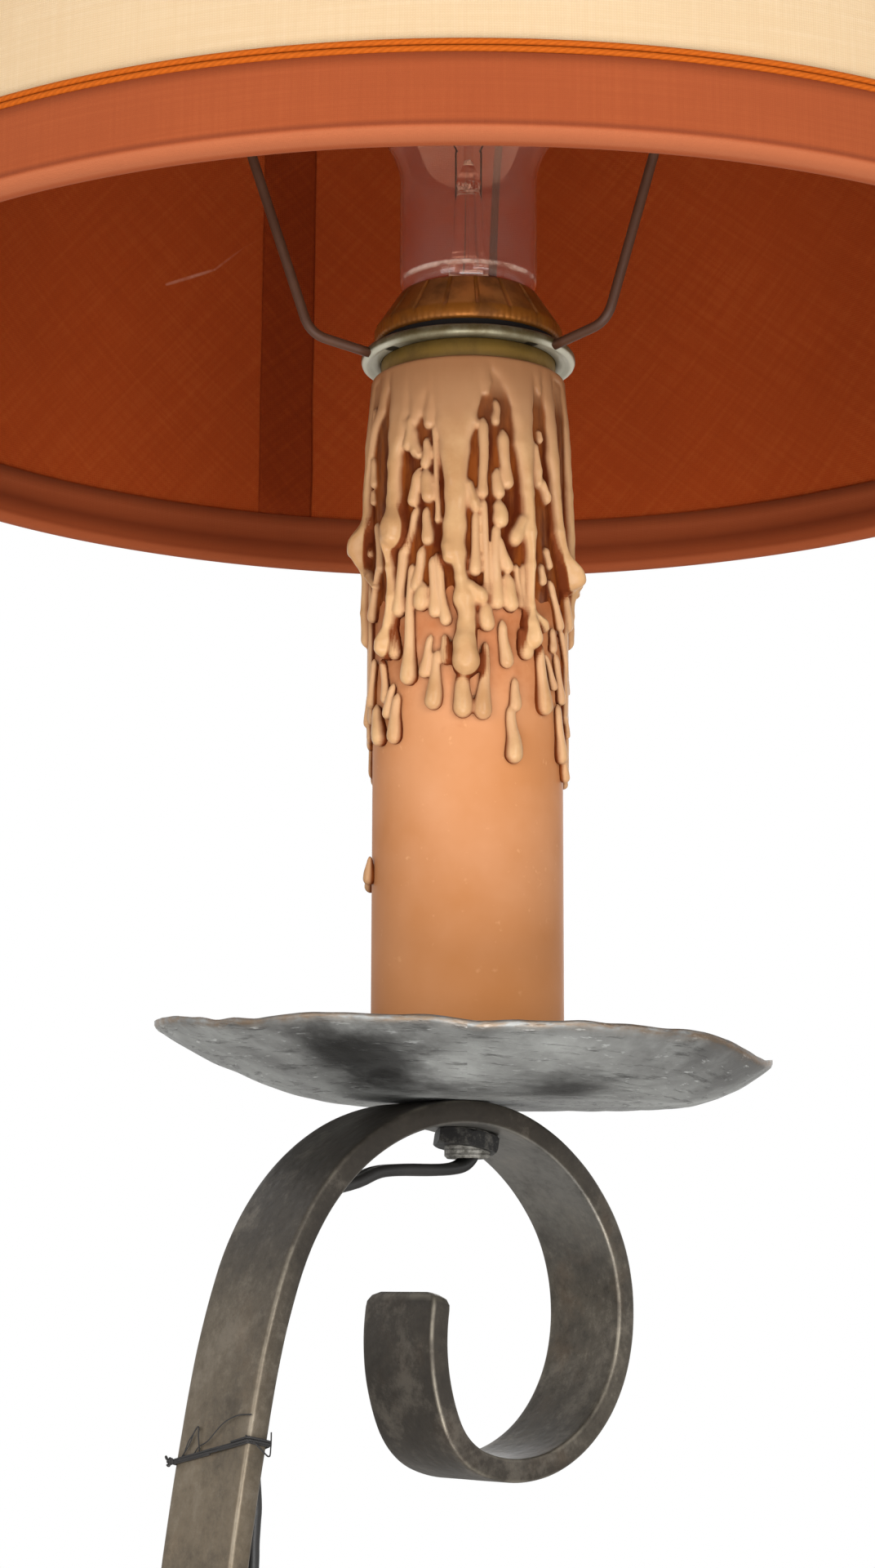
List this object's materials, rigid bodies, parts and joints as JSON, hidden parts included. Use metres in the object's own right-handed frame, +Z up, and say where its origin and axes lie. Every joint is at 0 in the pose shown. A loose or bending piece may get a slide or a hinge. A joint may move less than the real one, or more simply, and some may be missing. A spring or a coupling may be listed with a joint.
{
  "type": "floor lamp",
  "caption": "Forged flat-bar floor lamp with a crook and scroll, a hammered drip pan, a dripping candle and a fabric drum shade.",
  "frame": {"origin": "on the floor, below the middle of the lamp's own box without the free lead", "axes": "+Z up; the crook and scroll lie in the XZ plane, with the stem on the -X side of the candle"},
  "size_m": [0.347, 0.3722, 1.5],
  "materials": {
    "forged_bar": "worn, wire-brushed and waxed flat bar, brighter on the edges",
    "forged_base": "dull forged black-brown steel",
    "rivet_steel": "dark hammered heads",
    "pad_rubber": "matt black",
    "zinc": "dull zinc plate, scratched",
    "dark_nut": "blackened, greasy",
    "hammered_steel": "hammered grey steel with small dents",
    "candle_plastic": "satin tan-orange sleeve",
    "wax": "cream cast drips with rust-brown glaze in the hollows",
    "bakelite": "black moulding",
    "brass": "plain pressed brass",
    "ring_brass": "tarnished, bright on the corners",
    "gasket_black": "matt black fibre",
    "carrier_zinc": "zinc plate with yellow stain",
    "arm_brown": "brown lacquered wire",
    "cover_cloth": "cream open weave on parchment",
    "lining_cloth": "rust-brown slub weave",
    "seam_cloth": "lapped seam with a stitched line",
    "trim_cloth": "rust twill tape",
    "piping_cloth": "orange-brown twisted cord",
    "clear_glass": "clear lamp glass",
    "mount_glass": "clear pressed glass",
    "cap_metal": "rolled lamp cap",
    "filament": "dark wire",
    "flex_pvc": "black twin flex",
    "tie_thread": "black waxed thread",
    "switch_moulding": "dark brown moulding",
    "button_moulding": "grey-brown push button",
    "plug_moulding": "black moulded plug",
    "pin_metal": "nickel-plated pins"
  },
  "bodies": {
    "stand": {"stem_bar": "forged_bar", "hub": "forged_base", "stem_pin": "rivet_steel", "leg_front": "forged_base", "leg_left": "forged_base", "leg_right": "forged_base", "leg_rivets": "rivet_steel", "foot_pads": "pad_rubber", "riser_tube": "zinc", "locknut_lower": "dark_nut", "drip_pan": "hammered_steel", "sleeve_disc": "zinc", "pan_washer": "zinc", "locknut_upper": "dark_nut", "candle_sleeve": "candle_plastic", "wax_drips": "wax", "holder_cap": "bakelite", "holder_body": "bakelite", "holder_shell": "brass", "holder_contact": "brass", "holder_collar": "ring_brass", "flex_held": "flex_pvc", "flex_ties": "tie_thread", "flex_drop": "flex_pvc", "switch_base": "switch_moulding", "switch_cover": "switch_moulding", "switch_core": "switch_moulding", "switch_screws": "zinc", "flex_link": "flex_pvc", "flex_coil": "flex_pvc", "flex_tail": "flex_pvc", "plug_body": "plug_moulding", "plug_pins": "pin_metal"},
    "shade_ring": {"shade_ring": "ring_brass"},
    "shade": {"shade_gasket": "gasket_black", "carrier_ring": "carrier_zinc", "shade_arm_a": "arm_brown", "shade_arm_b": "arm_brown", "shade_arm_c": "arm_brown", "shade_wire_bottom": "arm_brown", "shade_wire_top": "arm_brown", "shade_cover": "cover_cloth", "shade_lining": "lining_cloth", "lining_seam": "seam_cloth", "trim_bottom": "trim_cloth", "trim_top": "trim_cloth", "trim_piping": "piping_cloth"},
    "bulb": {"bulb_cap": "cap_metal", "bulb_contact": "cap_metal", "bulb_glass": "clear_glass", "bulb_mount": "mount_glass", "bulb_filament": "filament"},
    "switch_button": {"switch_button": "button_moulding"}
  },
  "joints": [
    {"name": "shade_turn", "type": "hinge", "parent": "stand", "child": "shade", "pos_m": [0.01574, 0, 1.19], "axis": [0, 0, 1], "continuous": true},
    {"name": "shade_ring_turn", "type": "hinge", "parent": "stand", "child": "shade_ring", "pos_m": [0.01574, 0, 1.2], "axis": [0, 0, 1], "range_deg": [0, 90]},
    {"name": "bulb_turn", "type": "hinge", "parent": "stand", "child": "bulb", "pos_m": [0.01574, 0, 1.2], "axis": [0, 0, 1], "range_deg": [0, 90]},
    {"name": "switch_press", "type": "slide", "parent": "stand", "child": "switch_button", "axis": [0, 0, -1], "range_m": [0, 0.003], "stiffness_N_per_m": 300, "springref_m": -0.002}
  ]
}
